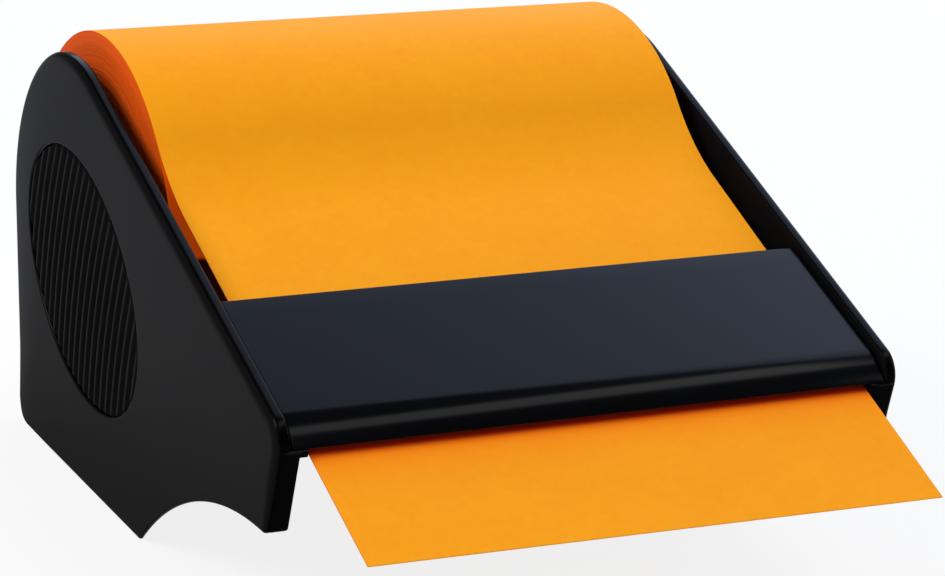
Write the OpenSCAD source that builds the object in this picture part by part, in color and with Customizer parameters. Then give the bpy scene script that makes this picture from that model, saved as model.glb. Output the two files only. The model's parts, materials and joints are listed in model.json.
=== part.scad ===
// Desk dispenser for a roll of sticky note paper.
// +X is right, +Y is back and +Z is up. The origin lies on the table, straight below the roll's axis.
// The paper leaves the top of the roll, runs under the sloping front bar and hangs out at the front (-Y).

/* [Paper] */
// Width of the paper
paper_w = 60; // [40:1:90]
// Diameter of the roll when it is full
roll_d = 45; // [40:0.5:60]
// Thickness that the paper is drawn at
paper_t = 0.2; // [0.15:0.05:0.3]
// Gap between the wound paper and its loose outer turn
turn_gap = 0.15; // [0.1:0.05:0.3]
// Slope of the paper where it runs under the bar
paper_slope = 22.1; // [18:0.1:26]
// How far the paper's straight run lies below the top of the roll, square to its slope
paper_drop = 4.35; // [3.5:0.05:6]
// Radius of the paper's bend between the roll and the bar
paper_bend_r = 25; // [12:1:40]
// Length of paper that hangs out past the bar
paper_out = 15.6; // [5:0.1:30]
// Where the loose outer turn starts, as an angle round the roll from the back
turn_start = -95; // [-120:1:-60]

/* [Core and hubs] */
// Bore of the cardboard core
core_bore = 25.4; // [18:0.1:28]
// Wall of the cardboard core
core_wall = 1.5; // [0.8:0.1:2.5]
// Diameter of the stub axle on each cheek
stub_d = 8; // [6:0.1:12]
// Length of the stub axle
stub_len = 6.5; // [4:0.1:10]
// Running clearance between stub axle and hub, on the radius
stub_clear = 0.06; // [0.03:0.01:0.1]
// Depth that a hub reaches into the core
hub_depth = 7; // [5:0.1:12]
// Wall of the hub's rim, web and boss
hub_wall = 1.6; // [1:0.1:2.5]
// Clearance between hub and core, on the radius
hub_clear = 0.05; // [0.03:0.01:0.1]
// Thickness of the hub's flange
flange_t = 1.3; // [0.6:0.1:1.5]
// Gap between the flange and the end of the roll
flange_seat = 0.1; // [0.05:0.05:0.3]
// Gap between the flange and the cheek
flange_run = 0.6; // [0.3:0.05:0.8]

/* [Cheeks] */
// Thickness of a cheek
cheek_t = 1.5; // [1.4:0.1:4]
// How far the rounding of a cheek's outer edge reaches in over its outer face
edge_in = 1.2; // [0.4:0.1:1.5]
// How much of the cheek's thickness that rounding takes
edge_t = 0.45; // [0.2:0.05:0.8]
// Radius of the crown, the round top of a cheek
crown_r = 18.5; // [16:0.1:20]
// How far the crown's centre lies behind the roll's axis
crown_back = 1.4; // [0:0.1:3]
// How far the crown's centre lies above the roll's axis
crown_up = 1.6; // [0:0.1:2.5]
// Slope of the rim from the crown down to the nose
rim_slope = 20.6; // [16:0.1:24]
// Lean of the rear edge
rear_lean = 6; // [2:0.5:14]
// Lean of the front edge, which runs back towards the foot
front_lean = 14.5; // [5:0.5:20]
// Radius of the nose
nose_r = 3; // [2:0.1:5]
// How far the nose stands past the bar's front edge, along the rim
nose_past = 0.3; // [0:0.1:3]
// Radius of the heel, at the rear of the base
heel_r = 3.5; // [1:0.1:5]
// Height of the front foot's underside above the table
foot_h = 12.9; // [8:0.1:16]
// Length of the front foot's flat underside
foot_len = 1.4; // [0.8:0.1:4]
// Distance from the roll's axis forward to the tip where the base ends and the arch begins
arch_tip = 22.9; // [16:0.1:30]
// Thickness of the lip inside the front leg
lip_t = 1; // [0.4:0.1:1.5]
// Width of the lip inside the front leg
lip_w = 3; // [1:0.1:5]

/* [Grips] */
// Length of the oval grip
grip_len = 36.1; // [24:0.1:38]
// Height of the oval grip
grip_h = 23.9; // [12:0.1:26]
// Tilt of the oval, rising to the rear
grip_tilt = 20.4; // [0:0.1:40]
// How far the oval's centre lies in front of the roll's axis
grip_forward = 3.9; // [0:0.1:8]
// How far the oval's centre lies below the roll's axis
grip_below = 2.65; // [0:0.05:6]
// Depth of the oval recess in the cheek
grip_recess = 1; // [0.95:0.05:1.1]
// Thickness of the pad behind its ribs
pad_t = 0.2; // [0.15:0.05:0.25]
// Clearance round the pad
pad_clear = 0.08; // [0.03:0.01:0.2]
// Height of the ribs in the middle of the pad
rib_h = 0.7; // [0.5:0.05:0.75]
// How much lower the ribs stand at the top and bottom of the oval
rib_bow = 0.5; // [0.1:0.05:0.55]
// Spacing of the ribs
rib_pitch = 1.8; // [1.5:0.05:3]
// Width of a rib at its root
rib_root = 1.4; // [0.8:0.05:1.4]
// Width of a rib at its crest
rib_crest = 0.4; // [0.2:0.05:0.6]
// Lean of the ribs, with their tops to the front
rib_lean = 16; // [0:1:25]

/* [Bar and guide] */
// Distance from the roll's axis to the bar's rear edge, along the rim
bar_back = 33.5; // [28:0.1:40]
// Length of the bar along the rim, rear edge to front edge
bar_len = 21.8; // [16:0.1:30]
// How far the bar's top lies below the rim
bar_drop = 1.1; // [0.5:0.1:1.4]
// Gap between the paper and the bar above it
bar_gap = 0.3; // [0.2:0.05:0.6]
// Radius of the bar's rolled front edge
bar_nose_r = 8; // [4:0.1:10]
// Gap between a cross piece and the cheek's inner face
cross_gap = 0.1; // [0.05:0.05:0.2]
// Length of the tenons that enter the cheeks
tenon_len = 0.8; // [0.6:0.1:1]
// Clearance round a tenon
tenon_clear = 0.06; // [0.03:0.01:0.1]
// Thickness of the bar's tenons
bar_tenon_t = 0.6; // [0.4:0.05:0.6]
// Distance from the bar's rear edge to its tenons and to the guide plate
cross_inset = 6; // [3:0.1:8]
// Length of the bar's tenons along the rim
bar_tenon_w = 10; // [5:0.1:12]
// Length of the guide plate along the paper
guide_len = 10; // [6:0.1:12]
// Thickness of the guide plate
guide_t = 1.6; // [1.2:0.1:2.4]
// Gap between the paper's two layers, and between the lower layer and the guide's ribs
lead_gap = 0.2; // [0.15:0.05:0.4]
// Height of the guide's ribs
guide_rib_h = 0.4; // [0.2:0.1:0.8]
// Width of a guide rib
guide_rib_w = 1; // [0.6:0.1:2]
// Number of guide ribs
guide_ribs = 7; // [3:1:11]

/* [Base tie] */
// Thickness of the base tie
tie_t = 1.6; // [1.2:0.1:3]
// Gap between the roll and the base tie
tie_gap = 0.9; // [0.5:0.1:3]
// Distance from the roll's axis back to the tie's rear face
tie_back = 15.4; // [12:0.1:16]
// Distance from the roll's axis forward to the tie's front edge
tie_front = 2.2; // [0:0.1:10]
// Height of the tie's rear upstand
tie_upstand = 5.4; // [3:0.1:5.5]
// Width of the tie's tenons
tie_tenon_w = 9; // [4:0.1:14]

/* [Hidden] */
$fn = 96;

cheek_color = "#2b2b2c";
grip_color = "#121214";
bar_color = "#2a2e37";
hub_color = "#3a3a3c";
core_color = "#b58d5c";
paper_color = "#f5a524";
roll_color = "#e0601e";

// Steps of an edge rounding, and a layer too thin to see
edge_steps = 4;
skin = 0.001;
over = 1;

roll_r = roll_d / 2;
axis_h = roll_r + tie_gap + tie_t;
axis = [0, axis_h];
side_gap = flange_seat + flange_t + flange_run;
inner_x = paper_w / 2 + side_gap;
wound_r = roll_r - paper_t - turn_gap;
core_r = core_bore / 2 + core_wall;

// Section plane: [distance back, height]. Angles run from the back upwards.
function polar(a) = [cos(a), sin(a)];
function arc(c, r, from, to, steps) = [for (i = [0 : steps]) c + r * polar(from + (to - from) * i / steps)];
function reversed(list) = [for (i = [len(list) - 1 : -1 : 0]) list[i]];
// Point at a run u down a slope and a distance w out from the roll's axis, square to that slope
function on_slope(slope, u, w) = axis + u * polar(180 + slope) + w * polar(90 + slope);
// How much steeper the paper runs than the rim
slope_step = paper_slope - rim_slope;

// Cheek outline
nose_u = bar_back + bar_len + nose_past;
rim_out = 90 + rim_slope;
crown_center = axis + [crown_back, crown_up];
rim_w = crown_r + [crown_back, crown_up] * polar(rim_out);
nose_corner = on_slope(rim_slope, nose_u, rim_w);
front_out = 180 + front_lean;
nose_turn = (front_out - rim_out) / 2;
nose_center = nose_corner - nose_r / cos(nose_turn) * polar(rim_out + nose_turn);
foot_front = nose_corner[0] + (nose_corner[1] - foot_h) * tan(front_lean);
foot_back = foot_front + foot_len;
arch_run = -arch_tip - foot_back;
arch_r = (arch_run * arch_run + foot_h * foot_h) / (2 * foot_h);

// Paper path: round the roll, a reverse bend, then straight under the bar
turn_r = roll_r - paper_t / 2;
paper_w_out = turn_r - paper_drop;
bend_u = sqrt(pow(turn_r + paper_bend_r, 2) - pow(paper_w_out + paper_bend_r, 2));
bend_center = on_slope(paper_slope, bend_u, paper_w_out + paper_bend_r);
leave_angle = 90 + paper_slope + atan2(bend_u, paper_w_out + paper_bend_r);
bar_front = bar_back + bar_len;
span_end = bar_front - cross_inset / 2;
lead_end = bar_front + paper_out;
// The lower layer starts just clear of the roll
lead_w = paper_w_out - paper_t - lead_gap;
lead_start = sqrt(roll_r * roll_r - pow(lead_w - paper_t / 2, 2)) + over;
turn_steps = 72;
bend_steps = 16;

// Front bar, on the rim's slope; its underside follows the paper
bar_top = rim_w - bar_drop;
bar_under = paper_w_out + paper_t / 2 + bar_gap;
bar_front_w = (bar_under - bar_front * sin(slope_step)) / cos(slope_step);
bar_rear_w = (bar_under - bar_back * sin(slope_step)) / cos(slope_step);
bar_rear_r = (bar_top - bar_rear_w) / 2;
bar_nose_turn = acos(1 - (bar_top - bar_front_w) / bar_nose_r);
bar_nose_start = bar_front - bar_nose_r * sin(bar_nose_turn);
bar_nose_steps = 12;

guide_top = lead_w - paper_t / 2 - lead_gap - guide_rib_h;
grip_center = axis - [grip_forward, grip_below];
oval_steps = 96;
// The ribs' crests follow one arc over the height of the oval
rib_arc_r = (pow(grip_h / 2, 2) + pow(rib_bow, 2)) / (2 * rib_bow);
rib_arc_turn = asin((grip_h / 2 + grip_len / 4) / rib_arc_r);
rib_arc_steps = 16;

// Places a section drawing so that its first axis points back, its second up, and its depth to the right
module section(x, depth) {
    translate([x, 0, 0]) rotate([90, 0, 90]) linear_extrude(depth) children();
}

// Draws its children on the right, or mirrored on the left
module on_side(side) {
    mirror([side < 0 ? 1 : 0, 0, 0]) children();
}

// Round piece about the roll's axis, from x to the right
module about_axis(x) {
    translate([x, 0, axis_h]) rotate([0, 90, 0]) children();
}

// Cheek outline before the arch is cut, with the rim, nose, front and rear edges drawn in
module cheek_outline(inset) {
    heel_rise = heel_r - crown_center[1];
    heel_x = crown_center[0] + (crown_r - inset - heel_r + heel_rise * sin(rear_lean)) / cos(rear_lean);
    polygon(concat(
        arc([heel_x, heel_r], heel_r, -90, -rear_lean, 6),
        arc(crown_center, crown_r - inset, -rear_lean, rim_out, 48),
        arc(nose_center, nose_r - inset, rim_out, front_out, 12),
        [[foot_front + foot_h * tan(front_lean) + inset / cos(front_lean), 0]]));
}

// Cheek blank on the right, flat inside and rounded along its outer edge
module cheek_blank() {
    translate([inner_x, 0, 0]) rotate([90, 0, 90]) hull() {
        linear_extrude(cheek_t - edge_t) cheek_outline(0);
        for (step = [1 : edge_steps]) {
            turn = 90 * step / edge_steps;
            translate([0, 0, cheek_t - edge_t + edge_t * sin(turn) - skin])
                linear_extrude(skin) cheek_outline(edge_in * (1 - cos(turn)));
        }
    }
}

// Lip that thickens the front leg on its inner side, from the foot up to the bar
module front_lip() {
    tip = on_slope(paper_slope, bar_front, bar_under - cross_gap);
    section(inner_x - lip_t, lip_t + skin) polygon([
        [foot_front, foot_h],
        [foot_front + lip_w, foot_h],
        on_slope(paper_slope, bar_front - lip_w, bar_under - cross_gap),
        tip,
        [foot_front - (tip[1] - foot_h) * tan(front_lean), tip[1]]]);
}

// Space cut away below the front: one arc that rises from the base's tip to the level foot
module arch_cut() {
    center = [foot_back, foot_h - arch_r];
    tip_angle = asin((-over - center[1]) / arch_r);
    polygon(concat(arc(center, arch_r, tip_angle, 90, 40),
        [[foot_front - nose_u, foot_h], [foot_front - nose_u, -over]]));
}

// Oval outline of the grip, grown or shrunk all round
module oval(grow) {
    a = grip_len / 2 + grow;
    b = grip_h / 2 + grow;
    step = 360 / oval_steps;
    translate(grip_center) rotate(grip_tilt)
        polygon([for (i = [0 : oval_steps - 1]) [a * cos(i * step), b * sin(i * step)]]);
}

// Rectangle on a slope, from u along it and w out from the axis
module slope_rect(slope, u, w, length, height) {
    polygon([on_slope(slope, u, w), on_slope(slope, u + length, w),
        on_slope(slope, u + length, w + height), on_slope(slope, u, w + height)]);
}

// Tenon sections of the three cross pieces, grown by a clearance
module bar_tenon(grow) {
    slope_rect(paper_slope, bar_back + cross_inset - grow, bar_under + bar_gap - grow,
        bar_tenon_w + 2 * grow, bar_tenon_t + 2 * grow);
}

module guide_tenon(grow) {
    slope_rect(paper_slope, bar_back + cross_inset + guide_len / 4 - grow, guide_top - guide_t * 3 / 4 - grow,
        guide_len / 2 + 2 * grow, guide_t / 2 + 2 * grow);
}

module tie_tenon(grow) {
    translate([(tie_back - tie_front - tie_tenon_w) / 2 - grow, tie_t / 4 - grow])
        square([tie_tenon_w + 2 * grow, tie_t / 2 + 2 * grow]);
}

module tenon_sockets() {
    depth = tenon_len + tenon_clear;
    section(inner_x - skin, depth) bar_tenon(tenon_clear);
    section(inner_x - skin, depth) guide_tenon(tenon_clear);
    section(inner_x - skin, depth) tie_tenon(tenon_clear);
}

module cheek(side) {
    color(cheek_color) on_side(side) difference() {
        union() {
            cheek_blank();
            front_lip();
            about_axis(inner_x - stub_len) cylinder(h = stub_len + cheek_t / 4, d = stub_d);
        }
        section(inner_x - lip_t - over, cheek_t + lip_t + 2 * over) arch_cut();
        section(inner_x + cheek_t - grip_recess, grip_recess + over) oval(0);
        tenon_sockets();
    }
}

module left_cheek() {
    cheek(-1);
}

module right_cheek() {
    cheek(1);
}

// Solid under the arc that the ribs' crests follow, as wide as the oval is long
module rib_envelope(crest_x) {
    crests = arc([crest_x - rib_arc_r, 0], rib_arc_r, -rib_arc_turn, rib_arc_turn, rib_arc_steps);
    translate([0, grip_center[0] + grip_len / 2, grip_center[1]]) rotate([90, 0, 0]) linear_extrude(grip_len)
        polygon(concat([[crest_x - cheek_t, 0]], crests));
}

// Ribbed oval pad that sits in the cheek's recess
module grip_pad(side) {
    seat_x = inner_x + cheek_t - grip_recess + pad_clear;
    rib_span = grip_len / 2 + grip_h / 2;
    rib_count = floor(grip_len / 2 / rib_pitch);
    color(grip_color) on_side(side) {
        section(seat_x, pad_t) oval(-pad_clear);
        intersection() {
            section(seat_x, grip_recess) oval(-pad_clear);
            rib_envelope(seat_x + pad_t + rib_h);
            for (i = [-rib_count : rib_count])
                translate([seat_x + pad_t - skin, grip_center[0] + i * rib_pitch, grip_center[1]])
                    rotate([rib_lean, 0, 0]) linear_extrude(rib_span, center = true)
                        polygon([[0, -rib_root / 2], [rib_h, -rib_crest / 2],
                            [rib_h, rib_crest / 2], [0, rib_root / 2]]);
        }
    }
}

module left_grip_pad() {
    grip_pad(-1);
}

module right_grip_pad() {
    grip_pad(1);
}

// Front bar: flat sloping top, rolled front edge, rounded rear edge and a tenon at each end
module tear_bar() {
    half = inner_x - cross_gap;
    nose_w = bar_top - bar_nose_r;
    rear_w = bar_top - bar_rear_r;
    top_run = [for (i = [0 : bar_nose_steps]) let (a = bar_nose_turn * i / bar_nose_steps)
        on_slope(rim_slope, bar_nose_start + bar_nose_r * sin(a), nose_w + bar_nose_r * cos(a))];
    rear_run = [for (i = [0 : bar_nose_steps]) let (a = 180 * i / bar_nose_steps)
        on_slope(rim_slope, bar_back + bar_rear_r * (1 - sin(a)), rear_w - bar_rear_r * cos(a))];
    color(bar_color) union() {
        section(-half, 2 * half) polygon(concat(rear_run, top_run));
        section(-inner_x - tenon_len, 2 * (inner_x + tenon_len)) bar_tenon(0);
    }
}

// Guide plate below the paper, with low ribs that the gummed side slides on
module guide_plate() {
    half = inner_x - cross_gap;
    rib_step = paper_w / guide_ribs;
    start = bar_back + cross_inset;
    color(bar_color) union() {
        section(-half, 2 * half)
            slope_rect(paper_slope, start, guide_top - guide_t, guide_len, guide_t);
        for (i = [0 : guide_ribs - 1])
            section((i + 0.5) * rib_step - paper_w / 2 - guide_rib_w / 2, guide_rib_w)
                slope_rect(paper_slope, start, guide_top - skin, guide_len, guide_rib_h + skin);
        section(-inner_x - tenon_len, 2 * (inner_x + tenon_len)) guide_tenon(0);
    }
}

// Base tie: flat plate under the roll with a rear upstand
module base_tie() {
    half = inner_x - cross_gap;
    color(cheek_color) union() {
        section(-half, 2 * half) polygon([[-tie_front, 0], [tie_back, 0], [tie_back, tie_upstand],
            [tie_back - tie_t, tie_upstand], [tie_back - tie_t, tie_t], [-tie_front, tie_t]]);
        section(-inner_x - tenon_len, 2 * (inner_x + tenon_len)) tie_tenon(0);
    }
}

// Hub that plugs one end of the core and turns on the cheek's stub axle
module hub(side) {
    rim_r = core_bore / 2 - hub_clear;
    bore_r = stub_d / 2 + stub_clear;
    flange_r = core_r - core_wall / 4;
    face = hub_depth + flange_seat;
    color(hub_color) on_side(side) about_axis(paper_w / 2 - hub_depth) rotate_extrude() polygon([
        [bore_r, 0], [bore_r + hub_wall, 0], [bore_r + hub_wall, hub_depth - hub_wall],
        [rim_r - hub_wall, hub_depth - hub_wall], [rim_r - hub_wall, 0], [rim_r, 0], [rim_r, face],
        [flange_r, face], [flange_r, face + flange_t], [bore_r, face + flange_t]]);
}

module left_hub() {
    hub(-1);
}

module right_hub() {
    hub(1);
}

// Tube about the roll's axis, as long as the paper is wide
module roll_tube(outer, inner) {
    about_axis(-paper_w / 2) difference() {
        cylinder(h = paper_w, r = outer);
        translate([0, 0, -over]) cylinder(h = paper_w + 2 * over, r = inner);
    }
}

module roll_core() {
    color(core_color) roll_tube(core_r, core_bore / 2);
}

module paper_roll() {
    color(roll_color) roll_tube(wound_r, core_r);
}

// Face of the paper's outer turn and bend, at a distance from its middle
function span_face(off) = concat(
    arc(axis, turn_r + off, turn_start, leave_angle, turn_steps),
    arc(bend_center, paper_bend_r - off, leave_angle + 180, 270 + paper_slope, bend_steps),
    [on_slope(paper_slope, span_end, paper_w_out + off)]);

// Loose outer turn, its bend down from the roll, and its run under the bar
module paper_span() {
    color(paper_color) section(-paper_w / 2, paper_w)
        polygon(concat(span_face(paper_t / 2), reversed(span_face(-paper_t / 2))));
}

// Straight end of the paper, which is pulled out under the bar
module paper_lead() {
    color(paper_color) section(-paper_w / 2, paper_w)
        slope_rect(paper_slope, lead_start, lead_w - paper_t / 2, lead_end - lead_start, paper_t);
}

left_cheek();
right_cheek();
left_grip_pad();
right_grip_pad();
tear_bar();
guide_plate();
base_tie();
left_hub();
right_hub();
roll_core();
paper_roll();
paper_span();
paper_lead();
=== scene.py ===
import bpy
import bmesh
import json
import math
import random
from mathutils import Matrix, Vector


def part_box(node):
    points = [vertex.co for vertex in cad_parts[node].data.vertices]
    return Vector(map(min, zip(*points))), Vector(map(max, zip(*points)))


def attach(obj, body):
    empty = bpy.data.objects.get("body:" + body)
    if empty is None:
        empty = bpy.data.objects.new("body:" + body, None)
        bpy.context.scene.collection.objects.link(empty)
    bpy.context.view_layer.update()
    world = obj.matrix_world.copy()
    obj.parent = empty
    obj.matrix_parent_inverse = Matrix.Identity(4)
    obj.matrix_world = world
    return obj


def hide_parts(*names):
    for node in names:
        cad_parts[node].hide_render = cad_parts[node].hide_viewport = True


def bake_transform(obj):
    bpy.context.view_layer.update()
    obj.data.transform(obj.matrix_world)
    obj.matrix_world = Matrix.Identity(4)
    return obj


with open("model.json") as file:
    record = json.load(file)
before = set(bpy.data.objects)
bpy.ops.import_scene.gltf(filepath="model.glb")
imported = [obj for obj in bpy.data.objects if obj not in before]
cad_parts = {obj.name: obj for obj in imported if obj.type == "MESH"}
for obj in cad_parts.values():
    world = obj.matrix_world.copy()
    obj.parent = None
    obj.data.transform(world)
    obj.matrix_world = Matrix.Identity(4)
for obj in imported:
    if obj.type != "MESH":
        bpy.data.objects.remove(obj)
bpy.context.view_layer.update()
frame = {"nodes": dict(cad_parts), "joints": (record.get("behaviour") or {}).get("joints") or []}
nodes = frame["nodes"]
joints = {joint["name"]: joint for joint in frame["joints"]}

# Lengths of the pieces are in millimetres, as in the drawing; meshes are made in metres.
mm = 0.001
axisUp = joints["roll_spin"]["pos_m"][2] / mm
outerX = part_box("right_cheek")[1].x / mm
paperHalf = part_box("paper_lead")[1].x / mm
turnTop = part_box("paper_span")[1].z / mm - axisUp
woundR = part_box("paper_roll")[1].z / mm - axisUp
bothSides = (("left", -1), ("right", 1))


# Section plane: (distance back, height). Angles run from the back upwards.
def polar(deg):
    return Vector((math.cos(math.radians(deg)), math.sin(math.radians(deg))))


def onSlope(slope, run, out):
    return Vector((0, axisUp)) + run * polar(180 + slope) + out * polar(90 + slope)


def arcRun(center, radius, fromDeg, toDeg, step=0.35):
    count = max(4, int(abs(math.radians(toDeg - fromDeg)) * radius / step))
    return [center + radius * polar(fromDeg + (toDeg - fromDeg) * i / count)
            for i in range(count + 1)]


def lineRun(start, end, step=0.6):
    count = max(2, int((end - start).length / step))
    return [start.lerp(end, i / count) for i in range(count + 1)]


def easeCorner(start, corner, end, count=6):
    shares = [i / count for i in range(count + 1)]
    return [start.lerp(corner, t).lerp(corner.lerp(end, t), t) for t in shares]


def smoothStep(low, high, value):
    t = min(1, max(0, (value - low) / (high - low)))
    return t * t * (3 - 2 * t)


def outwardNormals(loop):
    found = []
    for i in range(len(loop)):
        along = loop[(i + 1) % len(loop)] - loop[i - 1]
        found.append(Vector((along.y, -along.x)).normalized())
    return found


def evened(values, reach):
    # running mean round the loop, so that one edge form flows into the next
    count = len(values)
    wide = range(-reach, reach + 1)
    return [sum(values[(i + k) % count] for k in wide) / len(wide) for i in range(count)]


# Mesh building
def ringOf(bm, points):
    return [bm.verts.new(Vector(point) * mm) for point in points]


def ringFaces(bm, low, high, closed=True):
    last = len(low) if closed else len(low) - 1
    for i in range(last):
        j = (i + 1) % len(low)
        bm.faces.new((low[i], low[j], high[j], high[i]))


def skin(bm, rings):
    # walls from ring to ring, and a face over each end
    for low, high in zip(rings, rings[1:]):
        ringFaces(bm, low, high)
    bm.faces.new(rings[0])
    bm.faces.new(rings[-1])


def lathe(bm, profile, segments):
    # profile: (x, radius) round the roll's axis, as a closed loop
    rings = []
    for x, radius in profile:
        turn = [polar(360 * i / segments) * radius for i in range(segments)]
        rings.append(ringOf(bm, [(x, p.x, p.y + axisUp) for p in turn]))
    for low, high in zip(rings, rings[1:] + rings[:1]):
        ringFaces(bm, low, high)


def makePiece(name, bm, finish, sharpDeg):
    bmesh.ops.remove_doubles(bm, verts=bm.verts, dist=1e-7)
    bmesh.ops.recalc_face_normals(bm, faces=bm.faces)
    mesh = bpy.data.meshes.new(name)
    bm.to_mesh(mesh)
    bm.free()
    mesh.shade_smooth()
    mesh.set_sharp_from_angle(angle=math.radians(sharpDeg))
    mesh.materials.append(finish)
    piece = bpy.data.objects.new(name, mesh)
    bpy.context.scene.collection.objects.link(piece)
    return piece


# Shader sums: a socket that takes part in Python expressions
class Wire:
    def __init__(self, tree, socket):
        self.tree = tree
        self.socket = socket

    def calc(self, operation, first, second):
        node = self.tree.nodes.new("ShaderNodeMath")
        node.operation = operation
        for value, socket in ((first, node.inputs[0]), (second, node.inputs[1])):
            if isinstance(value, Wire):
                self.tree.links.new(value.socket, socket)
            else:
                socket.default_value = value
        return Wire(self.tree, node.outputs[0])

    def __add__(self, other):
        return self.calc("ADD", self, other)

    def __sub__(self, other):
        return self.calc("SUBTRACT", self, other)

    def __mul__(self, other):
        return self.calc("MULTIPLY", self, other)

    def __pow__(self, other):
        return self.calc("POWER", self, other)

    def __radd__(self, other):
        return self.calc("ADD", other, self)

    def __rsub__(self, other):
        return self.calc("SUBTRACT", other, self)

    def __rmul__(self, other):
        return self.calc("MULTIPLY", other, self)

    def __rpow__(self, other):
        return self.calc("POWER", other, self)


class NodeBench:
    def __init__(self, tree):
        self.tree = tree

    def add(self, kind, settings=None, sockets=None, out=0):
        node = self.tree.nodes.new(kind)
        for name, value in (settings or {}).items():
            setattr(node, name, value)
        for name, value in (sockets or {}).items():
            socket = next(s for s in node.inputs if name in (s.identifier, s.name))
            if isinstance(value, Wire):
                self.tree.links.new(value.socket, socket)
            else:
                socket.default_value = value
        if isinstance(out, int):
            return Wire(self.tree, node.outputs[out])
        return Wire(self.tree, next(s for s in node.outputs if out in (s.identifier, s.name)))


class Finish(NodeBench):
    def __init__(self, name, roughness, specular, sheen=0.0):
        self.material = bpy.data.materials.new(name)
        self.material.use_nodes = True
        super().__init__(self.material.node_tree)
        self.tree.nodes.clear()
        self.surface = self.add("ShaderNodeBsdfPrincipled", None,
                                {"Roughness": roughness, "Specular IOR Level": specular,
                                 "Sheen Weight": sheen})
        self.shader = self.surface.socket.node
        self.output = self.tree.nodes.new("ShaderNodeOutputMaterial")
        self.show(self.surface)
        self.place = self.add("ShaderNodeTexCoord", out="Object")

    def fix(self, name, value):
        self.shader.inputs[name].default_value = value

    def put(self, name, wire):
        self.tree.links.new(wire.socket, self.shader.inputs[name])

    def show(self, wire):
        self.tree.links.new(wire.socket, self.output.inputs["Surface"])

    def noise(self, sizeMm, detail, rough, stretch=None):
        where = self.place
        if stretch:
            where = self.add("ShaderNodeMapping", None, {"Vector": where, "Scale": stretch})
        return self.add("ShaderNodeTexNoise", None,
                        {"Vector": where, "Scale": 1 / (sizeMm * mm), "Detail": detail,
                         "Roughness": rough})

    def blend(self, share, first, second):
        pair = {"Factor_Float": share}
        for name, color in (("A_Color", first), ("B_Color", second)):
            pair[name] = color if isinstance(color, Wire) else (*color, 1)
        return self.add("ShaderNodeMix", {"data_type": "RGBA"}, pair, "Result_Color")

    def rise(self, value, start, end, low=0.0, high=1.0):
        return self.add("ShaderNodeMapRange", {"interpolation_type": "SMOOTHSTEP"},
                        {"Value": value, "From Min": start, "From Max": end,
                         "To Min": low, "To Max": high})

    def height(self, where):
        return self.add("ShaderNodeSeparateXYZ", None, {"Vector": where}, "Z")

    def bump(self, height, depthMm):
        self.put("Normal", self.add("ShaderNodeBump", None,
                                    {"Height": height, "Distance": depthMm * mm}, "Normal"))


# Mouldings: spark-eroded grain as tiny bumps, slight cloud in tone and gloss
mould = {"cloudMm": 9.0, "cloudShare": 0.55, "cloudDull": 0.06, "detail": 2.0,
         "cloudRough": 0.5, "grainRough": 0.6}
plastics = {
    "rim": {"name": "rimPlastic", "dark": (0.001, 0.001, 0.0011), "light": (0.0016, 0.0016, 0.0018),
            "dull": 0.22, "gloss": 0.036, "grainMm": 0.20, "grainDeep": 0.002},
    # fronts of the legs: a darker, duller copy of the rim plastic, as painted shade
    "front": {"name": "legFrontShadePlastic", "dark": (0.0006, 0.0006, 0.0006), "light": (0.001, 0.001, 0.001),
              "dull": 0.3, "gloss": 0.012, "grainMm": 0.20, "grainDeep": 0.002},
    "bar": {"name": "barPlastic", "dark": (0.0012, 0.0014, 0.002), "light": (0.0018, 0.0021, 0.003),
            "dull": 0.16, "gloss": 0.06, "grainMm": 0.20, "grainDeep": 0.002},
    "grip": {"name": "gripRubber", "dark": (0.0028, 0.0028, 0.003), "light": (0.0042, 0.0042, 0.0044),
             "dull": 0.5, "gloss": 0.015, "grainMm": 0.18, "grainDeep": 0.004},
    "hub": {"name": "hubPlastic", "dark": (0.03, 0.03, 0.032), "light": (0.05, 0.05, 0.053),
            "dull": 0.45, "gloss": 0.3, "grainMm": 0.25, "grainDeep": 0.006},
}


def mouldTone(paint, look):
    grain = paint.noise(look["grainMm"], mould["detail"], mould["grainRough"])
    cloud = paint.noise(mould["cloudMm"], mould["detail"], mould["cloudRough"])
    share = mould["cloudShare"] * cloud + (1 - mould["cloudShare"]) * grain
    paint.put("Base Color", paint.blend(share, look["dark"], look["light"]))
    paint.bump(grain, look["grainDeep"])
    return cloud


def mouldedPlastic(look):
    paint = Finish(look["name"], look["dull"], specular=look["gloss"])
    cloud = mouldTone(paint, look)
    paint.put("Roughness", look["dull"] - mould["cloudDull"] / 2 + mould["cloudDull"] * cloud)
    return paint.material


# Faces of the cheeks: a soft gloss lies over the black; the gloss is turned down towards the table as
# painted shade, standing in for the darker reflection of the shadowed floor near the base
cheekFace = {
    "dark": (0.004, 0.004, 0.0042), "light": (0.006, 0.006, 0.0062), "grainMm": 0.22, "grainDeep": 0.005,
    "dull": 0.36, "dullSwing": 0.04, "gloss": 0.004, "coatIor": 1.1, "coatDull": 0.33,
    "coatLow": 0.065, "coatHigh": 0.27, "coatSwing": 0.04,
    "coatRise": 0.026,  # height in metres at which the gloss is full
}


def cheekPlastic():
    look = cheekFace
    paint = Finish("cheekPlastic", look["dull"], specular=look["gloss"])
    paint.fix("Coat IOR", look["coatIor"])
    paint.fix("Coat Roughness", look["coatDull"])
    cloud = mouldTone(paint, look)
    # painted shade in the gloss: less coat low down, full coat from coatRise up
    coat = paint.rise(paint.height(paint.place), 0.0, look["coatRise"],
                      look["coatLow"], look["coatHigh"])
    paint.put("Coat Weight", coat - look["coatSwing"] / 2 + look["coatSwing"] * cloud)
    paint.put("Roughness", look["dull"] - look["dullSwing"] / 2 + look["dullSwing"] * cloud)
    return paint.material


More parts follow.
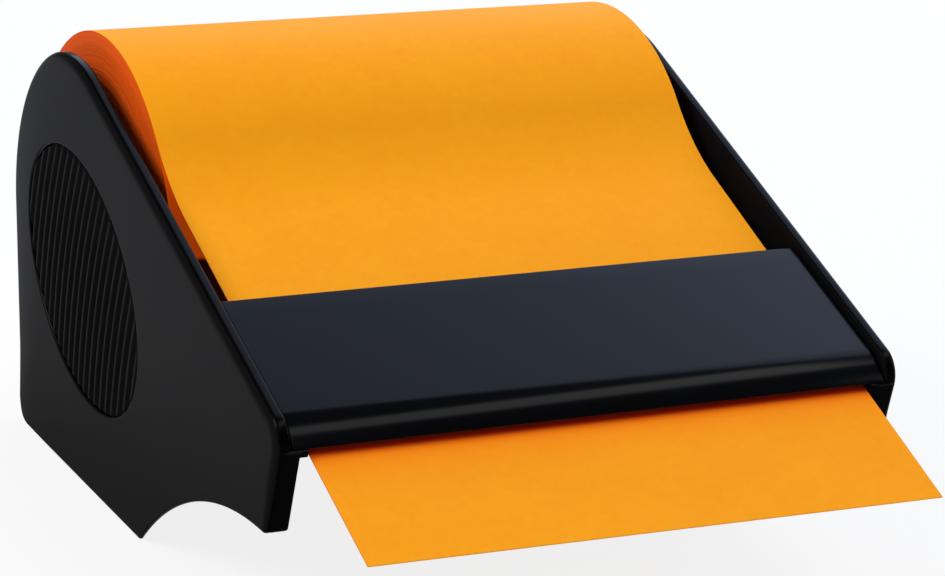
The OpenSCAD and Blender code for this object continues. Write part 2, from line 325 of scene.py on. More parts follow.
# Note paper: mottled pulp, with fine fibres along the paper's length
pulpForm = {
    "pulpMm": 1.1, "pulpDetail": 4.0, "pulpRough": 0.62, "pulpShare": 0.6,
    "flowMm": 6.5, "flowDetail": 2.0, "flowRough": 0.5,
    "fibreMm": 0.35, "fibreDetail": 2.0, "fibreRough": 0.6, "fibreStretch": (1.0, 0.35, 0.35),
    "fibreShare": 0.35, "fibreBump": 0.6, "bumpDeep": 0.02,
    "dull": 0.5, "dullSwing": 0.14, "gloss": 0.03, "sheen": 0.03,
}
sheetColors = {"deep": (0.9, 0.284, 0.0015), "mean": (0.945, 0.35, 0.004), "pale": (0.99, 0.416, 0.009)}
# painted shade: the paper is painted redder close in front of the bar, where the bar shades it, measured
# down the slope in metres from just behind its lip
sheetBarShade = {"along": (0, -0.9265, -0.3762), "start": 0.045, "reach": 0.00076, "fade": 0.035,
              "color": (0.945, 0.04, 0.002)}
# the roll's outer face under the loose turn: a darker, redder copy of the paper's colours, painted as
# shade
turnShadeColors = {"deep": (0.86, 0.1, 0.003), "mean": (0.9, 0.12, 0.004), "pale": (0.93, 0.14, 0.005)}
# painted light and shade on the roll under the loose turn: above a height in metres the roll is painted
# with a faint glow, as emission, for light coming through the loose turn; below it the roll is painted
# near black as shade
turnGlowAndShade = {"dim": (0.05, 0.006, 0.002), "strength": 0.2, "from": 0.0289, "to": 0.0295}


def notePaper(name, colors, barShade=None, glow=None):
    form = pulpForm
    paint = Finish(name, form["dull"], specular=form["gloss"], sheen=form["sheen"])
    pulp = paint.noise(form["pulpMm"], form["pulpDetail"], form["pulpRough"])
    flow = paint.noise(form["flowMm"], form["flowDetail"], form["flowRough"])
    fibre = paint.noise(form["fibreMm"], form["fibreDetail"], form["fibreRough"], form["fibreStretch"])
    share = form["pulpShare"] * pulp + (1 - form["pulpShare"]) * flow
    tone = paint.blend(share, colors["deep"], colors["pale"])
    tone = paint.blend(form["fibreShare"] * fibre, tone, colors["mean"])
    # painted shade of the bar: the paper's colour is blended to a deep red close in front of the bar's
    # lip, fading with distance
    if barShade:
        along = paint.add("ShaderNodeVectorMath", {"operation": "DOT_PRODUCT"},
                          {"Vector": paint.place, "Vector_001": barShade["along"]}, "Value")
        near = barShade["reach"] * (along - barShade["start"]) ** -1 - barShade["fade"]
        tone = paint.blend(near, tone, barShade["color"])
    # painted light and shade: emission above the height stands in for light through the loose turn, and
    # a near-black colour below it stands in for shade
    if glow:
        spot = paint.add("ShaderNodeNewGeometry", out="Position")
        lit = paint.rise(paint.height(spot), glow["from"], glow["to"])
        tone = paint.blend(lit, glow["dim"], tone)
        paint.put("Emission Color", paint.blend(lit, (0, 0, 0), colors["mean"]))
        paint.fix("Emission Strength", glow["strength"])
    paint.put("Base Color", tone)
    paint.put("Roughness", form["dull"] + form["dullSwing"] * pulp)
    paint.bump(form["fibreBump"] * fibre + (1 - form["fibreBump"]) * pulp, form["bumpDeep"])
    return paint.material


# Cut edges of the paper: fine rings round the axis; deeper and redder than the paper's face, partly the
# look of a stack of paper layers and partly painted shade
cutEdge = {
    "shade": (0.75, 0.085, 0.005), "face": (0.82, 0.105, 0.006), "dull": 0.72, "gloss": 0.05,
    "ringMm": 0.22, "ringDetail": 2.0, "ringShare": 0.65, "ringDeep": 0.006,
    "pulpMm": 0.8, "pulpDetail": 3.0, "pulpRough": 0.6,
}


def paperEdge():
    look = cutEdge
    paint = Finish("paperEdge", look["dull"], specular=look["gloss"])
    flat = paint.add("ShaderNodeMapping", None,
                     {"Vector": paint.place, "Location": (0, 0, -axisUp * mm), "Scale": (0, 1, 1)})
    far = paint.add("ShaderNodeVectorMath", {"operation": "LENGTH"}, {"Vector": flat}, "Value")
    rings = paint.add("ShaderNodeTexNoise", {"noise_dimensions": "1D"},
                      {"W": far, "Scale": 1 / (look["ringMm"] * mm), "Detail": look["ringDetail"]})
    pulp = paint.noise(look["pulpMm"], look["pulpDetail"], look["pulpRough"])
    share = look["ringShare"] * rings + (1 - look["ringShare"]) * pulp
    paint.put("Base Color", paint.blend(share, look["shade"], look["face"]))
    paint.bump(rings, look["ringDeep"])
    return paint.material


# Cardboard of the roll's core
coreBoard = {"dark": (0.36, 0.20, 0.08), "light": (0.52, 0.33, 0.15), "dull": 0.8, "gloss": 0.3,
             "pulpMm": 0.9, "pulpDetail": 4.0, "pulpRough": 0.65, "bumpDeep": 0.05}


def greyBoard():
    look = coreBoard
    paint = Finish("greyBoard", look["dull"], specular=look["gloss"])
    pulp = paint.noise(look["pulpMm"], look["pulpDetail"], look["pulpRough"])
    paint.put("Base Color", paint.blend(pulp, look["dark"], look["light"]))
    paint.bump(pulp, look["bumpDeep"])
    return paint.material


finishes = {
    "cheek": cheekPlastic(),
    **{key: mouldedPlastic(look) for key, look in plastics.items()},
    "paper": notePaper("notePaper", sheetColors, barShade=sheetBarShade),
    "shaded": notePaper("shadedPaper", turnShadeColors, glow=turnGlowAndShade),
    "edge": paperEdge(),
    "board": greyBoard(),
}
print("finishes made:", ", ".join(finishes))

# Grips: a ribbed pad let into an oval recess in each cheek
grip = {
    "long": 36.1, "high": 23.9, "tilt": 20.4, "forward": 3.9, "below": 2.65, "recess": 1.0,
    "lipRound": 0.3, "lipMargin": 0.12, "lipStepDeg": 20, "gap": 0.08, "padThick": 0.55,
    "ribHigh": 0.42, "ribBow": 0.1, "ribPitch": 1.8, "ribRoot": 1.5, "ribCrest": 0.3,
    "ribLean": 16.0, "ribCurve": 0.0066, "fade": 0.3,
    "reachShare": 0.9995, "columnsPerRib": 14, "rows": 44,
}
gripCenter = Vector((-grip["forward"], axisUp - grip["below"]))


def ovalPoint(direction, grow):
    # where a ray from the grip's middle crosses its oval
    turned = direction.normalized()
    angle = math.atan2(turned.y, turned.x) - math.radians(grip["tilt"])
    a = grip["long"] / 2 + grow
    b = grip["high"] / 2 + grow
    reach = a * b / math.hypot(b * math.cos(angle), a * math.sin(angle))
    return gripCenter + reach * turned


def ribHeight(across):
    pitch = grip["ribPitch"] * math.cos(math.radians(grip["ribLean"]))
    phase = abs((across / pitch + 0.5) % 1 - 0.5) * pitch
    return 1 - smoothStep(grip["ribCrest"] / 2, grip["ribRoot"] / 2, phase)


def gripPad(name, side, node):
    along = polar(90 + grip["ribLean"])
    across = polar(grip["ribLean"])
    a = grip["long"] / 2 - grip["gap"]
    b = grip["high"] / 2 - grip["gap"]
    tilt = math.radians(grip["tilt"] - grip["ribLean"])
    reach = math.hypot(a * math.cos(tilt), b * math.sin(tilt))
    # the oval, in the ribs' own directions: p s^2 + q s t + r t^2 = 1
    p = (math.cos(tilt) / a) ** 2 + (math.sin(tilt) / b) ** 2
    q = 2 * math.sin(tilt) * math.cos(tilt) * (1 / a ** 2 - 1 / b ** 2)
    r = (math.sin(tilt) / a) ** 2 + (math.cos(tilt) / b) ** 2
    floor = outerX - grip["recess"] + grip["gap"]
    columns = int(2 * reach / grip["ribPitch"] * grip["columnsPerRib"])
    wide = reach * grip["reachShare"]
    rows = grip["rows"]
    bm = bmesh.new()
    strips = []
    for c in range(columns + 1):
        s = -wide + 2 * wide * c / columns
        half = math.sqrt(max(0, (q * s) ** 2 - 4 * r * (p * s * s - 1))) / (2 * r)
        middle = -q * s / (2 * r)
        points = []
        for k in range(rows + 1):
            share = -math.cos(math.pi * k / rows)
            t = middle + half * share
            end = half * (1 - abs(share))
            spot = gripCenter + s * across + t * along
            crest = max(0, grip["ribHigh"] - grip["ribBow"] * (p * s * s + q * s * t + r * t * t))
            rib = ribHeight(s + grip["ribCurve"] * t * t)
            lift = crest * rib * smoothStep(0, grip["fade"], end)
            points.append((side * (floor + grip["padThick"] + lift), spot.x, spot.y))
        first = (side * floor, points[0][1], points[0][2])
        last = (side * floor, points[-1][1], points[-1][2])
        strips.append(ringOf(bm, [first, *points, last]))
    for low, high in zip(strips, strips[1:]):
        ringFaces(bm, low, high, closed=False)
    for strip in (strips[0], strips[-1]):
        bm.faces.new(strip)
    bm.faces.new([strip[0] for strip in strips] + [strip[-1] for strip in reversed(strips)])
    piece = makePiece(name, bm, finishes["grip"], sharpDeg=60)
    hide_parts(node)
    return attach(piece, "frame")


# Cheeks
cheek = {
    "thick": 1.5, "crownR": 18.5, "crownBack": 1.4, "crownUp": 1.6, "rimSlope": 20.6,
    "rearLean": 6.0, "frontLean": 14.5, "noseRun": 55.6, "noseR": 3.0, "heelR": 3.5,
    "footUp": 12.9, "footLen": 0.7, "archTip": 22.9,
    "cornerEase": 0.4,  # small rounding at the foot and at the tip of the base
    "rimIn": 1.12, "rimDeep": 0.7,  # rounding of the outer edge: over the face, in the thickness
    "lowIn": 0.25, "lowDeep": 0.2,  # the same on the edges near the table
    "rimInner": 0.28, "lowInner": 0.14, "legInner": 0.02,  # rounding of the inner edge
    "archBevel": 1.2, "bevelRatio": 1.19, "tipRun": 4.0,  # the arch is bevelled on its inner side
    "domeFall": 0.36, "domeWide": 8.0, "heelDome": 0.3,  # the outer face falls off to the rear
    "domeFrom": 55, "domeTo": 100,  # degrees round the crown where the fall-off ends
    "outerFlow": 7, "innerFlow": 3, "domeFlow": 9,  # points over which edge forms change
    "noseStep": 0.2, "archStep": 0.5, "footStep": 0.3,
    "innerSteps": 4, "outerSteps": 9, "innerMargin": 0.2,
    "faceRows": (0.05, 0.12, 0.2, 0.3, 0.42, 0.56, 0.72, 0.88, 1.0), "faceReach": 9.0,
    "lipThick": 1.0, "lipWide": 3.0, "lipEase": 0.35, "lipGap": 0.02, "lipDeep": 0.72,
    "lipProud": 0.012, "lipFade": 1.5, "lipStepDeg": 18, "lipSteps": 4,
    "ledgeWide": 0.8, "ledgeDeep": 0.75, "ledgeLong": 2.6, "ledgeBack": 0.3,
    "stubR": 4.0, "stubLen": 6.5, "stubEase": 0.4, "stubCore": 0.01, "stubSegments": 64,
    "rootDeep": 0.3,  # ledge and stub start this far inside the plate
    "glossTurn": 0.72, "frontTurn": -0.85,  # normals of the glossy edges and of the leg fronts painted darker as shade
}
innerX = outerX - cheek["thick"]
crownCenter = Vector((cheek["crownBack"], axisUp + cheek["crownUp"]))
rimOut = 90 + cheek["rimSlope"]
rimFar = cheek["crownR"] + (crownCenter - Vector((0, axisUp))).dot(polar(rimOut))
noseCorner = onSlope(cheek["rimSlope"], cheek["noseRun"], rimFar)
frontLean = math.tan(math.radians(cheek["frontLean"]))
footFront = Vector((noseCorner.x + (noseCorner.y - cheek["footUp"]) * frontLean, cheek["footUp"]))


def cheekOutline():
    # closed outline, with the edge forms and the share of doming at each point
    frontOut = 180 + cheek["frontLean"]
    noseMid = (rimOut + frontOut) / 2
    noseReach = cheek["noseR"] / math.cos(math.radians(frontOut - noseMid))
    noseCenter = noseCorner - noseReach * polar(noseMid)
    footBack = footFront + Vector((cheek["footLen"], 0))
    archRun = -cheek["archTip"] - footBack.x
    archR = (archRun ** 2 + cheek["footUp"] ** 2) / (2 * cheek["footUp"])
    archCenter = footBack - Vector((0, archR))
    tipDeg = math.degrees(math.asin(-archCenter.y / archR))
    lean = math.radians(cheek["rearLean"])
    heelRise = (cheek["heelR"] - crownCenter.y) * math.sin(lean)
    heelX = crownCenter.x + (cheek["crownR"] - cheek["heelR"] + heelRise) / math.cos(lean)
    ease = cheek["cornerEase"]
    heel = arcRun(Vector((heelX, cheek["heelR"])), cheek["heelR"], -90, -cheek["rearLean"])
    crown = arcRun(crownCenter, cheek["crownR"], -cheek["rearLean"], rimOut)
    nose = arcRun(noseCenter, cheek["noseR"], rimOut, frontOut, cheek["noseStep"])
    down = (footFront - nose[-1]).normalized()
    footTurn = easeCorner(footFront - ease * down, footFront, footFront + Vector((ease, 0)))
    easeDeg = math.degrees(ease / archR)
    arch = arcRun(archCenter, archR, 90, tipDeg + easeDeg, cheek["archStep"])
    tip = Vector((-cheek["archTip"], 0))
    tipTurn = easeCorner(arch[-1], tip, tip + Vector((ease, 0)))
    base = lineRun(tipTurn[-1], heel[0])
    tipCount = sum(1 for point in base if point.x < tip.x + cheek["tipRun"])
    legCount = len(arch) // 3  # the bevel starts a third of the way round the arch
    rim = (cheek["rimIn"], cheek["rimDeep"], cheek["rimInner"], 0)
    leg = (cheek["rimIn"], cheek["rimDeep"], cheek["legInner"], 0)
    foot = (cheek["lowIn"], cheek["lowDeep"], cheek["legInner"], 0)
    hollow = (cheek["lowIn"], cheek["lowDeep"], cheek["archBevel"], 1)
    low = (cheek["lowIn"], cheek["lowDeep"], cheek["lowInner"], 0)
    # each run of points with its edge forms and its share of doming
    runs = [
        (heel, low, cheek["heelDome"]),
        (lineRun(heel[-1], crown[0]), rim, 1),
        (crown, rim, None),
        (lineRun(crown[-1], nose[0]), rim, 0),
        (nose, rim, 0),
        (lineRun(nose[-1], footTurn[0]), leg, 0),
        (footTurn, foot, 0),
        (lineRun(footTurn[-1], arch[0], cheek["footStep"]), foot, 0),
        (arch[:legCount + 1], low, 0),
        (arch[legCount:], hollow, 0),
        (tipTurn, hollow, 0),
        (base[:tipCount + 1], hollow, 0),
        (base[tipCount:], low, 0),
    ]
    loop, forms = [], []
    for points, form, dome in runs:
        for i, point in enumerate(points[:-1]):
            share = dome
            if dome is None:
                turned = -cheek["rearLean"] + (rimOut + cheek["rearLean"]) * i / len(points)
                share = 1 - smoothStep(cheek["domeFrom"], cheek["domeTo"], turned)
            loop.append(point)
            forms.append((*form, share))
    rounds, deeps, inners, bevels, domes = zip(*forms)
    return (loop, evened(rounds, cheek["outerFlow"]), evened(deeps, cheek["outerFlow"]),
            evened(inners, cheek["innerFlow"]), evened(bevels, cheek["innerFlow"]),
            evened(domes, cheek["domeFlow"]))


def faceHeight(dome, away):
    # the outer face above the inner one, at a distance from the edge
    near = max(0, 1 - away / cheek["domeWide"]) ** 2
    return cheek["thick"] - dome * cheek["domeFall"] * near


def cheekPiece(name, side, node):
    loop, rounds, deeps, inners, bevels, domes = cheekOutline()
    normals = outwardNormals(loop)
    count = len(loop)
    bm = bmesh.new()

    def ring(inset, height):
        # one inset and one height above the inner face for each point of the outline
        found = []
        for i in range(count):
            spot = loop[i] - inset[i] * normals[i]
            found.append((side * (innerX + height[i]), spot.x, spot.y))
        return ringOf(bm, found)

    # inner face and its edge, bevelled or rounded
    wides = [inners[i] * (1 + (cheek["bevelRatio"] - 1) * bevels[i]) for i in range(count)]
    rings = [ring([wide + cheek["innerMargin"] for wide in wides], [0] * count)]
    for step in range(cheek["innerSteps"] + 1):
        flat = step / cheek["innerSteps"]
        turn = math.radians(90 * flat)
        insets, heights = [], []
        for i in range(count):
            bevel, curve = bevels[i], 1 - bevels[i]
            insets.append(wides[i] * ((1 - flat) * bevel + (1 - math.sin(turn)) * curve))
            heights.append(inners[i] * (flat * bevel + (1 - math.cos(turn)) * curve))
        rings.append(ring(insets, heights))
    # rounded outer edge, which runs into the slope of the domed face
    slope = 2 * cheek["domeFall"] / cheek["domeWide"]
    for step in range(cheek["outerSteps"] + 1):
        insets, heights = [], []
        for i in range(count):
            end = math.atan2(deeps[i], rounds[i] * slope * domes[i])
            turn = end * step / cheek["outerSteps"]
            top = faceHeight(domes[i], rounds[i] * (1 - math.cos(end)))
            insets.append(rounds[i] * (1 - math.cos(turn)))
            heights.append(top - deeps[i] * (math.sin(end) - math.sin(turn)))
        rings.append(ring(insets, heights))
    # outer face, from the rounded edge in to the lip of the grip
    edges = [loop[i] - insets[i] * normals[i] for i in range(count)]
    ovals = [ovalPoint(edge - gripCenter, grip["lipRound"] + grip["lipMargin"]) for edge in edges]
    spans = [(oval - edge).length for oval, edge in zip(ovals, edges)]
    for share in cheek["faceRows"]:
        points = []
        for i in range(count):
            near = min(1, cheek["faceReach"] / spans[i]) if share < 1 else 1
            spot = edges[i].lerp(ovals[i], share * near)
            away = insets[i] + share * near * spans[i]
            points.append((side * (innerX + faceHeight(domes[i], away)), spot.x, spot.y))
        rings.append(ringOf(bm, points))
    tops = [innerX + faceHeight(domes[i], insets[i] + spans[i]) for i in range(count)]
    # rounded lip, wall and floor of the oval recess
    for turn in range(0, 90, grip["lipStepDeg"]):
        grow = grip["lipRound"] * (1 - math.sin(math.radians(turn)))
        drop = grip["lipRound"] * (1 - math.cos(math.radians(turn)))
        spots = [ovalPoint(edge - gripCenter, grow) for edge in edges]
        rings.append(ringOf(bm, [(side * (x - drop), p.x, p.y) for x, p in zip(tops, spots)]))
    spots = [ovalPoint(edge - gripCenter, 0) for edge in edges]
    rings.append(ringOf(bm, [(side * (outerX - grip["recess"]), p.x, p.y) for p in spots]))
    skin(bm, rings)
    bmesh.ops.recalc_face_normals(bm, faces=bm.faces)
    addLip(bm, side)
    addLedge(bm, side)
    addStub(bm, side)
    piece = makePiece(name, bm, finishes["cheek"], sharpDeg=50)
    # the edges come out of the mould glossier than the faces; the fronts of the legs are painted darker
    # and duller, as painted shade
    piece.data.materials.append(finishes["rim"])
    piece.data.materials.append(finishes["front"])
    for face in piece.data.polygons:
        if abs(face.normal.x) < cheek["glossTurn"]:
            face.material_index = 2 if face.normal.y < cheek["frontTurn"] else 1
    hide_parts(node)
    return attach(piece, "frame")


def addLip(bm, side):
    # thickening inside the front leg, flush with its front edge, from the foot up to the bar
    under = barUnder() - cheek["lipGap"]
    front = bar["back"] + bar["long"]
    tip = onSlope(sheet["slope"], front, under)
    rear = onSlope(sheet["slope"], front - cheek["lipWide"], under)
    shape = [footFront, footFront + Vector((cheek["lipWide"], 0)), rear, tip,
             Vector((noseCorner.x + (noseCorner.y - tip.y) * frontLean, tip.y))]
    ease = cheek["lipEase"]
    rounded = []
    for i, corner in enumerate(shape):
        before = shape[i - 1] - corner
        after = shape[(i + 1) % len(shape)] - corner
        near = min(ease, before.length / 3, after.length / 3)
        rounded += easeCorner(corner + near * before.normalized(), corner,
                              corner + near * after.normalized(), cheek["lipSteps"])
    normals = outwardNormals(rounded)
    proud = [p + cheek["lipProud"] * n for p, n in zip(rounded, normals)]
    rings = [ringOf(bm, [(side * (innerX + cheek["lipDeep"]), p.x, p.y) for p in proud])]
    for turn in range(0, 91, cheek["lipStepDeg"]):
        height = -cheek["lipThick"] + ease * (1 - math.sin(math.radians(turn)))
        spots = []
        for p, n in zip(proud, normals):
            fade = smoothStep(0, cheek["lipFade"], tip.y - p.y)
            inset = ease * (1 - math.cos(math.radians(turn))) * fade
            spots.append((side * (innerX + height), *(p - inset * n)))
        rings.append(ringOf(bm, spots))
    skin(bm, rings)


def addLedge(bm, side):
    # small ledge inside the lip that carries the bar's end, beside the paper
    top = barUnder() - cheek["lipGap"]
    low = top - cheek["ledgeDeep"]
    front = bar["back"] + bar["long"] - cheek["ledgeBack"]
    rear = front - cheek["ledgeLong"]
    corners = ((front, top), (front, low), (rear, low), (rear, top))
    shape = [onSlope(sheet["slope"], run, out) for run, out in corners]
    middle = (shape[0] + shape[2]) / 2
    inside = -cheek["lipThick"] - cheek["ledgeWide"]
    ease = cheek["lipEase"] / 3
    rings = []
    for height, inset in ((cheek["rootDeep"], 0), (inside + ease, 0), (inside + ease / 3, ease / 3),
                          (inside, ease)):
        spots = [p + inset * (middle - p).normalized() for p in shape]
        rings.append(ringOf(bm, [(side * (innerX + height), *p) for p in spots]))
    skin(bm, rings)


def addStub(bm, side):
    # axle stub that the hub turns on
    root = innerX + cheek["rootDeep"]
    end = innerX - cheek["stubLen"]
    ease = cheek["stubEase"]
    radius = cheek["stubR"]
    core = cheek["stubCore"]
    profile = [(root, core), (root, radius), (end + ease, radius), (end, radius - ease), (end, core)]
    lathe(bm, [(side * x, r) for x, r in profile], cheek["stubSegments"])


# Front bar: flat on top, rolled over at the front, close above the paper
bar = {
    "back": 34.8, "long": 21.0, "drop": 0.65, "endGap": 0.1, "paperGap": 0.75,
    "noseR": 6.4, "rearEase": 0.35, "lipEase": 0.22, "endRound": 0.25,
    "noseSteps": 30, "lipSteps": 4, "endSteps": 4, "flatStep": 2.0,
}


def barUnder():
    return turnTop - sheet["drop"] + bar["paperGap"]


def barProfile():
    slope = cheek["rimSlope"]
    top = rimFar - bar["drop"]
    radius = bar["noseR"]
    front = bar["back"] + bar["long"]
    under = barUnder()
    step = math.radians(sheet["slope"] - slope)
    frontFar = (under - front * math.sin(step)) / math.cos(step)
    noseTurn = math.acos(1 - (top - frontFar) / radius)
    center = front - radius * math.sin(noseTurn)
    nose = []
    for k in range(bar["noseSteps"] + 1):
        turn = noseTurn * k / bar["noseSteps"]
        nose.append(onSlope(slope, center + radius * math.sin(turn),
                            top - radius * (1 - math.cos(turn))))
    lip = nose.pop()
    rearTop = onSlope(slope, bar["back"], top)
    rearUnder = onSlope(sheet["slope"], bar["back"], under)
    toRear = (rearUnder - lip).normalized()
    upRear = (rearTop - rearUnder).normalized()
    flat = (nose[0] - rearTop).normalized()
    ease = bar["rearEase"]
    loop = easeCorner(rearUnder - ease * toRear, rearUnder, rearUnder + ease * upRear)
    loop += easeCorner(rearTop - ease * upRear, rearTop, rearTop + ease * flat)
    loop += lineRun(loop[-1], nose[0], bar["flatStep"])[1:-1] + nose
    loop += easeCorner(nose[-1], lip, lip + bar["lipEase"] * toRear, bar["lipSteps"])[1:]
    return loop


def barPiece():
    profile = barProfile()
    normals = outwardNormals(profile)
    half = innerX - bar["endGap"]
    ease = bar["endRound"]
    stations = []
    for k in range(bar["endSteps"] + 1):
        turn = math.radians(90 * k / bar["endSteps"])
        stations.append((half - ease * (1 - math.sin(turn)), ease * (1 - math.cos(turn))))
    bm = bmesh.new()
    rings = []
    for x, inset in [(-x, inset) for x, inset in reversed(stations)] + stations:
        rings.append(ringOf(bm, [(x, *(p - inset * n)) for p, n in zip(profile, normals)]))
    skin(bm, rings)
    piece = makePiece("frontBar", bm, finishes["bar"], sharpDeg=50)
    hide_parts("tear_bar")
    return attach(piece, "frame")


# Paper: one sheet from the roll's loose turn to the torn end
sheet = {
    "thick": 0.12, "drawnThick": 0.2, "slope": 22.1, "drop": 4.35, "bendR": 25.0,
    "turnStart": -95.0, "tuck": 70.0, "turnGap": 0.01, "endRun": 71.2,
    "endSlant": 0.9, "slantRows": 30,  # the torn end is a little askew
    "pullFrom": 36.0, "pullTo": 52.0,  # the stretch under the bar between the frame and the free end
    "turnSteps": 160, "bendStep": 0.5, "runStep": 0.8, "columns": 30,
    "cutTurn": 0.7,
}


def sheetOut():
    return turnTop - sheet["drawnThick"] / 2 - sheet["drop"]


def sheetPath():
    turnR = turnTop - sheet["drawnThick"] / 2
    out = sheetOut()
    bendRun = math.sqrt((turnR + sheet["bendR"]) ** 2 - (out + sheet["bendR"]) ** 2)
    bendCenter = onSlope(sheet["slope"], bendRun, out + sheet["bendR"])
    leave = 90 + sheet["slope"] + math.degrees(math.atan2(bendRun, out + sheet["bendR"]))
    low = woundR + wound["swell"] + sheet["thick"] / 2 + sheet["turnGap"]
    points = []
    for i in range(sheet["turnSteps"] + 1):
        deg = sheet["turnStart"] + (leave - sheet["turnStart"]) * i / sheet["turnSteps"]
        rise = smoothStep(0, sheet["tuck"], deg - sheet["turnStart"])
        points.append(Vector((0, axisUp)) + (low + (turnR - low) * rise) * polar(deg))
    points += arcRun(bendCenter, sheet["bendR"], leave + 180, 270 + sheet["slope"],
                     sheet["bendStep"])[1:]
    points += lineRun(points[-1], onSlope(sheet["slope"], sheet["endRun"], out),
                      sheet["runStep"])[1:]
    return points


def sheetBorder(rows):
    right = [row[-1] for row in rows[1:-1]]
    left = [row[0] for row in rows[-2:0:-1]]
    return rows[0] + right + rows[-1][::-1] + left


def paperSheet():
    path = sheetPath()
    count = len(path)
    columns = sheet["columns"]
    back = -polar(180 + sheet["slope"])
    normals = []
    for i in range(count):
        along = path[min(i + 1, count - 1)] - path[max(i - 1, 0)]
        normals.append(Vector((along.y, -along.x)).normalized())
    bm = bmesh.new()
    borders = []
    for face in (1, -1):
        rows = []
        for i, point in enumerate(path):
            late = smoothStep(count - sheet["slantRows"], count - 1, i)
            middle = point + face * sheet["thick"] / 2 * normals[i]
            spots = []
            for c in range(columns + 1):
                share = c / columns
                spot = middle + late * sheet["endSlant"] * (1 - share) * back
                spots.append(((2 * share - 1) * paperHalf, spot.x, spot.y))
            rows.append(ringOf(bm, spots))
        for low, high in zip(rows, rows[1:]):
            ringFaces(bm, low, high, closed=False)
        borders.append(sheetBorder(rows))
    ringFaces(bm, *borders)
    piece = makePiece("paperSheet", bm, finishes["paper"], sharpDeg=45)
    # the sheet's cut edges take the edge finish: deeper and redder than the face, partly the look of cut
    # paper and partly painted shade
    piece.data.materials.append(finishes["edge"])
    for face in piece.data.polygons:
        if abs(face.normal.x) > sheet["cutTurn"]:
            face.material_index = 1
    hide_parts("paper_span", "paper_lead")
    start = onSlope(sheet["slope"], sheet["pullFrom"], sheetOut())
    end = onSlope(sheet["slope"], sheet["pullTo"], sheetOut())
    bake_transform(piece)
    return piece


# Wound paper: the layers end a hair apart, as wound paper does, and fill up to the loose turn
wound = {
    "coreR": 14.2, "layer": 0.2, "layerGap": 0.02, "stray": 0.012, "seed": 7, "swell": 0.15,
    "segments": 160, "outerTurn": 0.1, "outerArea": 1e-6,  # what tells the outer face from the layers
}


def woundPaper():
    draw = random.Random(wound["seed"])
    outer = woundR + wound["swell"]
    layers = int((outer - wound["coreR"]) / wound["layer"])
    step = (outer - wound["coreR"]) / layers
    gap = wound["layerGap"]
    ends = []
    for side in (-1, 1):
        profile = []
        for k in range(layers):
            x = side * (paperHalf - wound["stray"] - draw.uniform(-1, 1) * wound["stray"])
            inside = wound["coreR"] + k * step
            profile += [(x, inside + gap), (x, inside + step - gap)]
        profile[0] = (profile[0][0], wound["coreR"])
        profile[-1] = (profile[-1][0], outer)
        ends.append(profile)
    left, right = ends
    bm = bmesh.new()
    lathe(bm, left + right[::-1], wound["segments"])
    piece = makePiece("woundPaper", bm, finishes["edge"], sharpDeg=30)
    # the roll's outer face takes the shaded paper, with its painted shade and painted glow
    piece.data.materials.append(finishes["shaded"])
    for face in piece.data.polygons:
        if abs(face.normal.x) < wound["outerTurn"] and face.area > wound["outerArea"]:
            face.material_index = 1
    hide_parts("paper_roll")
    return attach(piece, "roll")


# Pieces that keep their drawn shape, each with its finish
drawn = {"guide_plate": "cheek", "base_tie": "cheek", "left_hub": "hub", "right_hub": "hub",
         "roll_core": "board"}

for sideName, side in bothSides:
    cheekPiece(sideName + "Cheek", side, sideName + "_cheek")
print("cheeks made")
for sideName, side in bothSides:
    gripPad(sideName + "GripPad", side, sideName + "_grip_pad")
print("grip pads made")
barPiece()
print("front bar made")
paperSheet()
print("paper sheet made")
woundPaper()
print("wound paper made")
for nodeName, finishName in drawn.items():
    nodes[nodeName].material_slots[0].material = finishes[finishName]
print("drawn pieces finished")

# Floor and light, in metres and watts
studio = {
    "aim": (0, -0.045, 0.04), "ambient": 0.18,
    "floorHalf": 1.6, "floorDrop": 0.05 * mm, "floorColor": (0.86, 0.86, 0.86),
    "floorDull": 0.9, "floorGloss": 0.1,
    "cameraWhite": 0.85, "glossWhite": 0.35, "whiteFrom": 0.1, "whiteTo": 0.4,
}
lamps = {
    "key": {"toward": (-0.1, -0.5, 0.86), "side": (1, 0, 0), "away": 1.0,
            "size": (0.5, 0.5), "watts": 0.95, "color": (1, 1, 1)},
    "leftTop": {"toward": (-0.75, 0.1, 0.65), "side": (0, 1, 0), "away": 0.9,
                "size": (0.4, 0.4), "watts": 5.3, "color": (1, 1, 1)},
    "rightSide": {"toward": (0.88, -0.25, 0.4), "side": (0, 1, 0), "away": 0.95,
                  "size": (0.5, 0.5), "watts": 1.5, "color": (1, 1, 1)},
    "backBox": {"toward": (0.5513, 0.6381, 0.5375), "side": (0.902, -0.293, -0.315), "away": 0.85,
                "size": (0.866, 0.885), "watts": 5.8, "color": (0.6, 0.72, 1.0)},
    "noseStrip": {"toward": (0.4038, -0.1842, 0.8967), "side": (0.5757, 0.5427, -0.6092),
                  "away": 0.85, "size": (0.62, 0.2), "watts": 1.6, "color": (1, 1, 1)},
}


def whiteFloor():
    # camera, mirror and clear rays see it near white; a share of the plain floor keeps the shadow
    paint = Finish("whiteFloor", studio["floorDull"], specular=studio["floorGloss"])
    paint.fix("Base Color", (*studio["floorColor"], 1))
    far = paint.add("ShaderNodeVectorMath", {"operation": "LENGTH"}, {"Vector": paint.place}, "Value")
    share = paint.rise(far, studio["whiteFrom"], studio["whiteTo"], studio["cameraWhite"], 1.0)
    direct = paint.add("ShaderNodeLightPath", out="Is Camera Ray")
    clear = paint.add("ShaderNodeLightPath", out="Is Transmission Ray")
    mirror = paint.add("ShaderNodeLightPath", out="Is Glossy Ray")
    seen = share * (direct + clear) + studio["glossWhite"] * mirror
    white = paint.add("ShaderNodeEmission", None, {"Strength": 1.0})
    paint.show(paint.add("ShaderNodeMixShader", None,
                         {"Fac": seen, "Shader": paint.surface, "Shader_001": white}))
    return paint.material


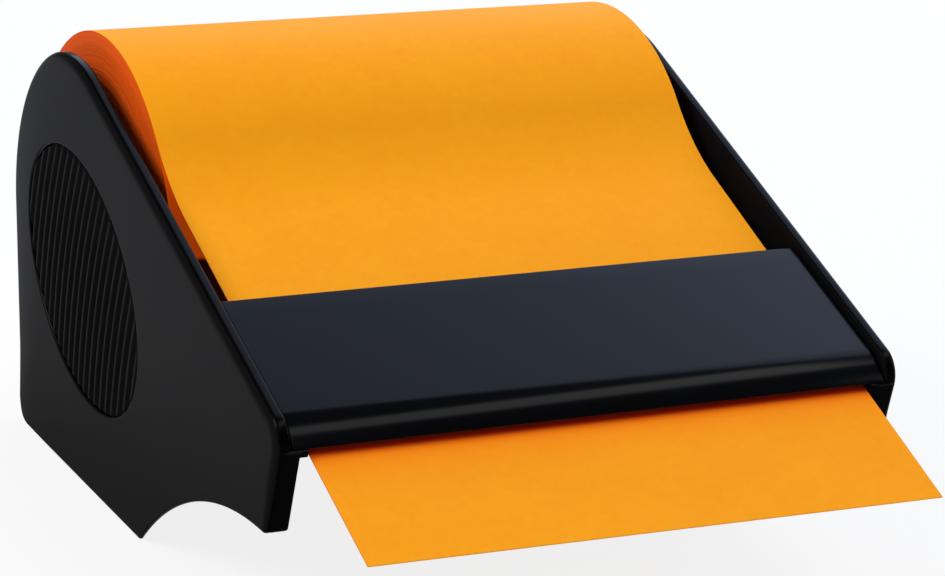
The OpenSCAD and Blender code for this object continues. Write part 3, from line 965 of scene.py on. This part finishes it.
def floorPlane():
    half = studio["floorHalf"] / mm
    low = -studio["floorDrop"] / mm
    bm = bmesh.new()
    corners = ((-half, -half), (half, -half), (half, half), (-half, half))
    bm.faces.new(ringOf(bm, [(x, y, low) for x, y in corners]))
    makePiece("floorPlane", bm, whiteFloor(), sharpDeg=60)


def studioLight():
    for name, lamp in lamps.items():
        light = bpy.data.lights.new(name, "AREA")
        light.shape = "RECTANGLE"
        light.size, light.size_y = lamp["size"]
        light.energy = lamp["watts"]
        light.color = lamp["color"]
        toward = Vector(lamp["toward"]).normalized()
        side = Vector(lamp["side"])
        side = (side - side.dot(toward) * toward).normalized()
        turned = Matrix((side, toward.cross(side), toward)).transposed().to_4x4()
        spot = Vector(studio["aim"]) + lamp["away"] * toward
        holder = bpy.data.objects.new(name, light)
        holder.matrix_world = Matrix.Translation(spot) @ turned
        bpy.context.scene.collection.objects.link(holder)
    world = bpy.data.worlds.new("studioWorld")
    bpy.context.scene.world = world
    world.use_nodes = True
    sky = NodeBench(world.node_tree)
    seen = sky.add("ShaderNodeLightPath", out="Is Camera Ray")
    glow = studio["ambient"] + (1 - studio["ambient"]) * seen
    background = sky.tree.nodes["Background"]
    background.inputs["Color"].default_value = (1, 1, 1, 1)
    sky.tree.links.new(glow.socket, background.inputs["Strength"])


# Camera
shot = {
    "place": (-144.6, -324.1, 126.6), "forward": (0.42086, 0.85835, -0.29343),
    "right": (0.90296, -0.42738, 0.04492), "focalPx": 3347.0, "widePx": 945, "sensor": 36.0,
    "clipStart": 0.01,
}


def camera():
    lens = bpy.data.cameras.new("shot")
    lens.sensor_width = shot["sensor"]
    lens.lens = shot["focalPx"] * shot["sensor"] / shot["widePx"]
    lens.clip_start = shot["clipStart"]
    forward = Vector(shot["forward"]).normalized()
    right = Vector(shot["right"]).normalized()
    turned = Matrix((right, right.cross(forward), -forward)).transposed().to_4x4()
    holder = bpy.data.objects.new("shot", lens)
    holder.matrix_world = Matrix.Translation(Vector(shot["place"]) * mm) @ turned
    bpy.context.scene.collection.objects.link(holder)
    bpy.context.scene.camera = holder


floorPlane()
studioLight()
camera()
bpy.context.scene.view_settings.view_transform = "Standard"
print("floor, light and camera set")
